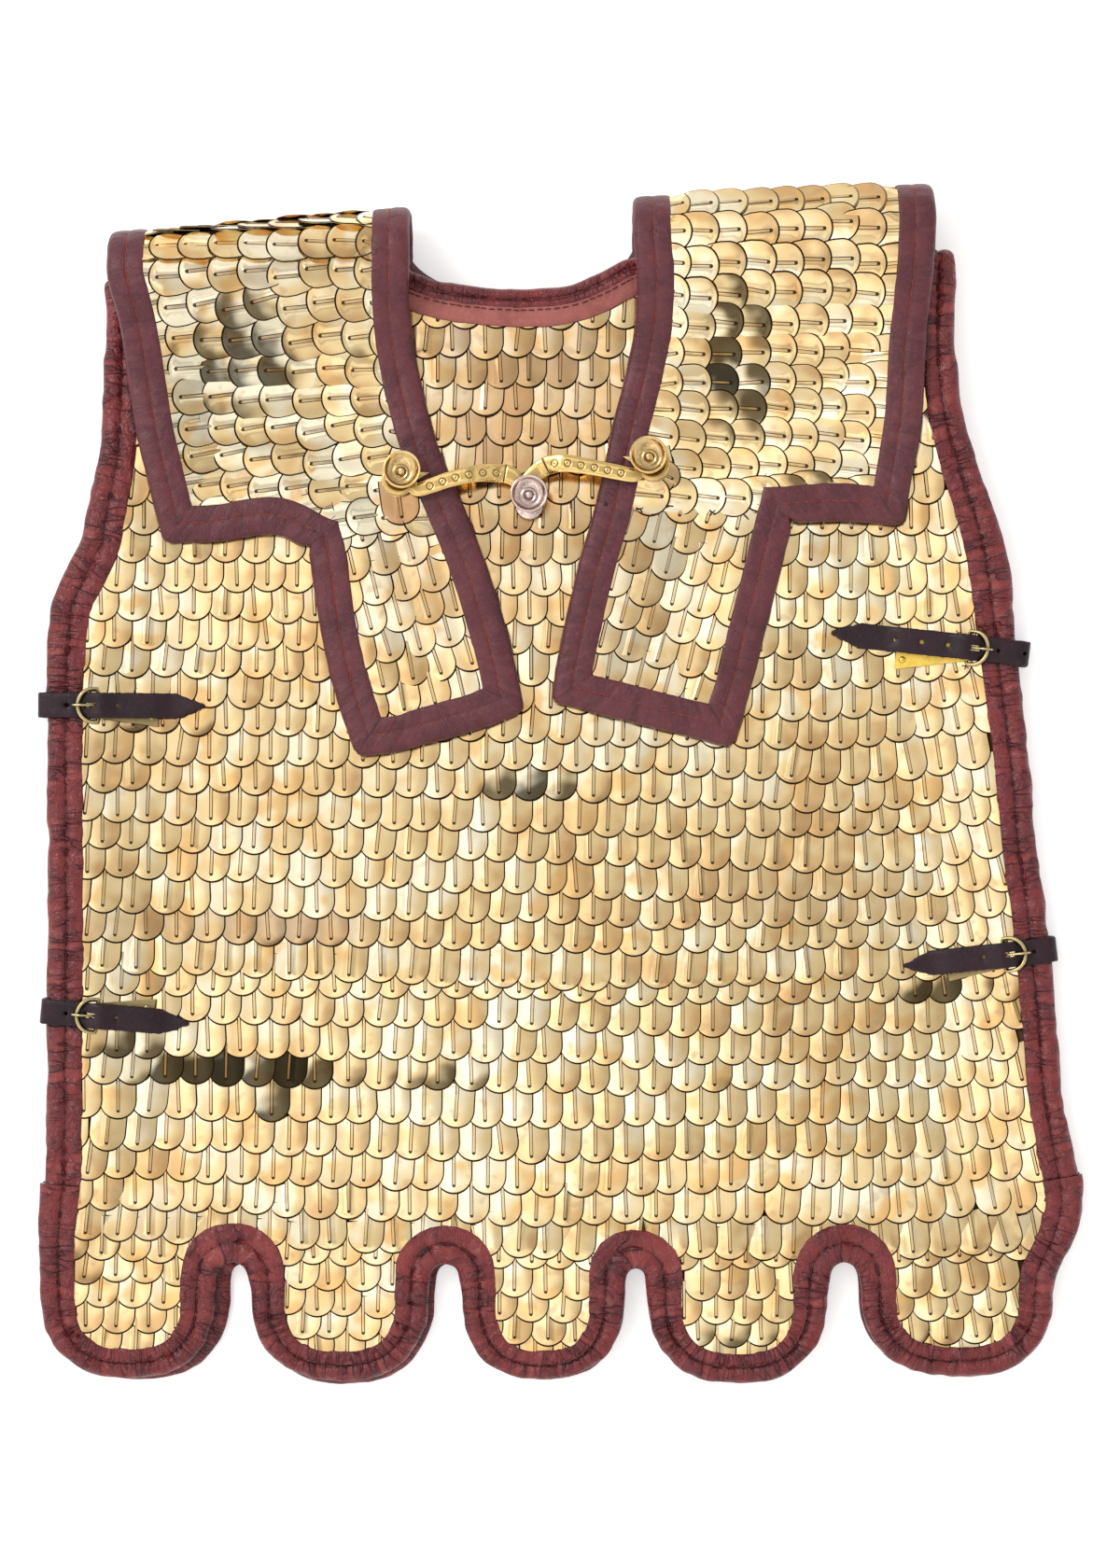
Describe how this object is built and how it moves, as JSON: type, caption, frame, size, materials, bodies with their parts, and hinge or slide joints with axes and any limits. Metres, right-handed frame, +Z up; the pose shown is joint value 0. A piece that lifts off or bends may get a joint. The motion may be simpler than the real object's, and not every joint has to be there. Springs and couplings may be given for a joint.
{
  "type": "scale armour shirt",
  "caption": "Sleeveless leather shirt covered in overlapping brass scales, laid flat, with padded bindings, a scalloped hem, shoulder flaps joined by breast hooks, and buckled side straps.",
  "frame": {"origin": "centre of the bounding box in plan, on the surface that the back lies on", "axes": "+X towards the right of the front as seen from above, +Y from the hem towards the shoulders, +Z up out of the front"},
  "size_m": [0.6278, 0.7216, 0.0527],
  "materials": {
    "shirt_leather": "plain brown backing leather",
    "shirt_binding": "wrinkled red-brown padded leather",
    "neck_leather": "smooth pink-brown leather",
    "doubling_binding": "dark purple-brown padded leather, stitched in orange red",
    "strap_leather": "very dark purple-brown strap leather",
    "scales": "polished, with dark and coppery patches",
    "fittings": "cast and turned brass, lightly tarnished"
  },
  "bodies": {
    "garment": {"back_binding_hem": "shirt_binding", "back_binding_left": "shirt_binding", "back_binding_neck": "shirt_binding", "back_binding_right": "shirt_binding", "back_panel": "shirt_leather", "back_scales": "scales", "buckle_left_lower": "fittings", "buckle_left_upper": "fittings", "buckle_plate_left_lower": "fittings", "buckle_plate_left_upper": "fittings", "buckle_plate_right_lower": "fittings", "buckle_plate_right_upper": "fittings", "buckle_right_lower": "fittings", "buckle_right_upper": "fittings", "doubling_left": "shirt_leather", "doubling_left_binding_inner": "doubling_binding", "doubling_left_binding_lower": "doubling_binding", "doubling_left_binding_outer": "doubling_binding", "doubling_left_binding_tab_end": "doubling_binding", "doubling_left_binding_tab_side": "doubling_binding", "doubling_left_binding_yoke_edge": "doubling_binding", "doubling_left_scales": "scales", "doubling_left_tab_scales": "scales", "doubling_right": "shirt_leather", "doubling_right_binding_inner": "doubling_binding", "doubling_right_binding_lower": "doubling_binding", "doubling_right_binding_outer": "doubling_binding", "doubling_right_binding_tab_end": "doubling_binding", "doubling_right_binding_tab_side": "doubling_binding", "doubling_right_binding_yoke_edge": "doubling_binding", "doubling_right_scales": "scales", "doubling_right_tab_scales": "scales", "front_binding_hem": "shirt_binding", "front_binding_left": "shirt_binding", "front_binding_neck": "shirt_binding", "front_binding_right": "shirt_binding", "front_neck_strip": "neck_leather", "front_panel": "shirt_leather", "front_scales": "scales", "prong_left_lower": "fittings", "prong_left_upper": "fittings", "prong_right_lower": "fittings", "prong_right_upper": "fittings", "strap_left_lower": "strap_leather", "strap_left_upper": "strap_leather", "strap_right_lower": "strap_leather", "strap_right_upper": "strap_leather", "stud_breast": "fittings", "stud_left": "fittings", "stud_left_plate": "fittings", "stud_right": "fittings", "stud_right_plate": "fittings"},
    "hook_left": {"hook_left": "fittings"},
    "hook_right": {"hook_right": "fittings"}
  },
  "joints": [
    {"name": "hook_left_swing", "type": "hinge", "parent": "garment", "child": "hook_left", "pos_m": [-0.09558, 0.18436, 0.0344], "axis": [0, 0, 1], "range_deg": [0, 50]},
    {"name": "hook_right_swing", "type": "hinge", "parent": "garment", "child": "hook_right", "pos_m": [0.05586, 0.19306, 0.0344], "axis": [0, 0, -1], "range_deg": [0, 50]}
  ]
}
